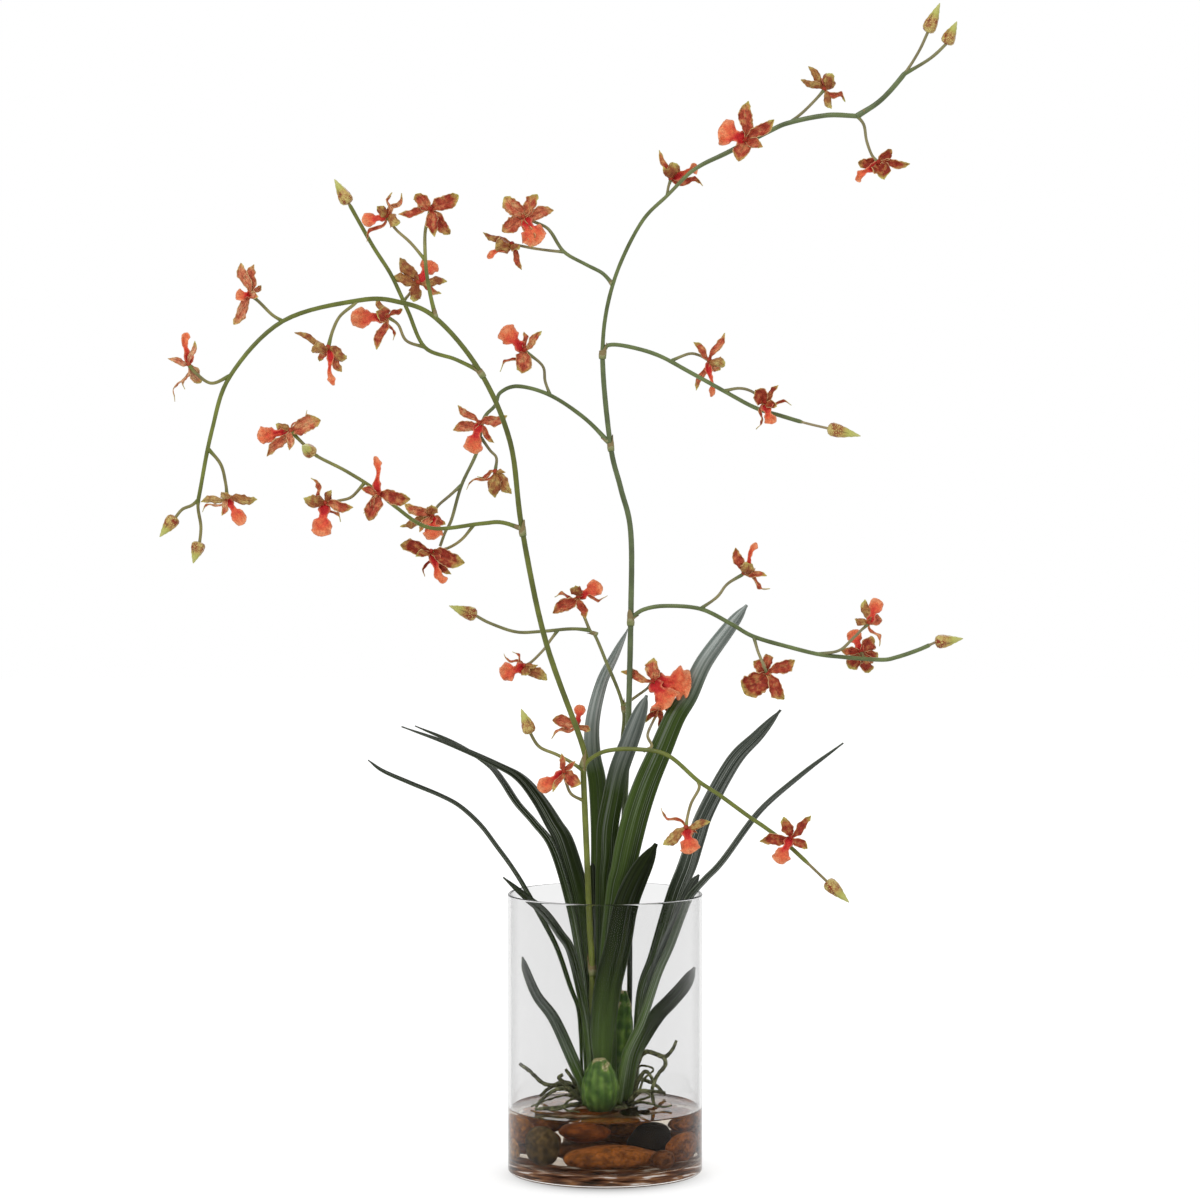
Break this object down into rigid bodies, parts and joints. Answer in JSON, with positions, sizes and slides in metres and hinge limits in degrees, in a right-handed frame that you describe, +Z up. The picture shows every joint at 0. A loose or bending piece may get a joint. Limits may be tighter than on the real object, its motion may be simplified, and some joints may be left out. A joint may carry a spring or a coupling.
{
  "type": "orchid in glass vase",
  "caption": "Artificial spray orchid with narrow leaves and rust-orange flowers, set in clear resin and pebbles in a straight glass cylinder vase.",
  "frame": {"origin": "centre of the vase's flat underside, on the surface that it stands on", "axes": "+Z up; -Y towards the viewer's side; +X to the viewer's right, where the short right spray of buds reaches highest"},
  "size_m": [0.6115, 0.1865, 0.9042],
  "materials": {
    "clear_glass": "clear polished glass",
    "clear_resin": "water-clear cast resin",
    "rust_stone": "smooth river pebble",
    "olive_stone": "smooth river pebble",
    "dark_stone": "smooth river pebble",
    "orange_stone": "smooth river pebble",
    "bulb_green": "moulded, mottled green, semi-gloss",
    "root_olive": "moulded over wire, dull olive",
    "leaf_green": "printed satin, semi-gloss dark green",
    "stem_green": "plastic over wire, dull green",
    "petal_rust": "printed polyester, matte"
  },
  "bodies": {
    "root": {"glass_vase": "clear_glass", "clear_resin": "clear_resin", "stone_rust": "rust_stone", "stone_olive": "olive_stone", "stone_dark": "dark_stone", "stone_orange": "orange_stone", "front_pseudobulb": "bulb_green", "rear_pseudobulb": "bulb_green", "rhizome_and_roots": "root_olive", "flower_stem_left": "stem_green", "flower_stem_right": "stem_green", "flower_stem_middle": "stem_green", "leaf_01": "leaf_green", "leaf_02": "leaf_green", "leaf_03": "leaf_green", "leaf_04": "leaf_green", "leaf_05": "leaf_green", "leaf_06": "leaf_green", "leaf_07": "leaf_green", "leaf_08": "leaf_green", "leaf_09": "leaf_green", "leaf_10": "leaf_green", "leaf_11": "leaf_green", "leaf_12": "leaf_green", "flower_01": "petal_rust", "flower_02": "petal_rust", "flower_03": "petal_rust", "flower_04": "petal_rust", "flower_05": "petal_rust", "flower_06": "petal_rust", "flower_07": "petal_rust", "flower_08": "petal_rust", "flower_09": "petal_rust", "flower_10": "petal_rust", "flower_11": "petal_rust", "flower_12": "petal_rust", "flower_13": "petal_rust", "flower_14": "petal_rust", "flower_15": "petal_rust", "flower_16": "petal_rust", "flower_17": "petal_rust", "flower_18": "petal_rust", "flower_19": "petal_rust", "flower_20": "petal_rust", "flower_21": "petal_rust", "flower_22": "petal_rust", "flower_23": "petal_rust", "flower_24": "petal_rust", "flower_25": "petal_rust", "flower_26": "petal_rust", "flower_27": "petal_rust", "flower_28": "petal_rust", "flower_29": "petal_rust", "flower_30": "petal_rust", "flower_31": "petal_rust", "flower_32": "petal_rust", "flower_33": "petal_rust", "flower_34": "petal_rust", "flower_35": "petal_rust", "flower_36": "petal_rust"}
  },
  "joints": []
}
